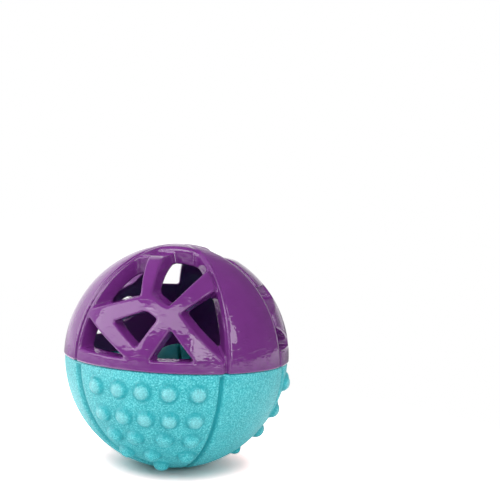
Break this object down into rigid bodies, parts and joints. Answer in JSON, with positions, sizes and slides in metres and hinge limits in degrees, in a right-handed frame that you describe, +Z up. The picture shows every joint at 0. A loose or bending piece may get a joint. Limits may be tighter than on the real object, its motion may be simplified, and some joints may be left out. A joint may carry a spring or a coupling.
{
  "type": "treat dispensing ball",
  "caption": "Hollow rubber dog ball that dispenses treats: a glossy open lattice dome cemented onto a nubbed foam bowl, with a slit domed post inside.",
  "frame": {"origin": "the lowest point of the ball, on its axis, where it rests", "axes": "+Z up along the axis from the foam bowl to the lattice dome, -Y through the middle of one lattice gore"},
  "size_m": [0.0932, 0.0917, 0.09],
  "materials": {
    "purple_gloss_rubber": "glossy moulded rubber",
    "turquoise_foam_rubber": "matte foamed rubber with fine pale speckle",
    "teal_rubber": "smooth satin rubber"
  },
  "bodies": {
    "root": {"upper_shell": "purple_gloss_rubber", "lower_shell": "turquoise_foam_rubber", "treat_post": "teal_rubber"}
  },
  "joints": []
}
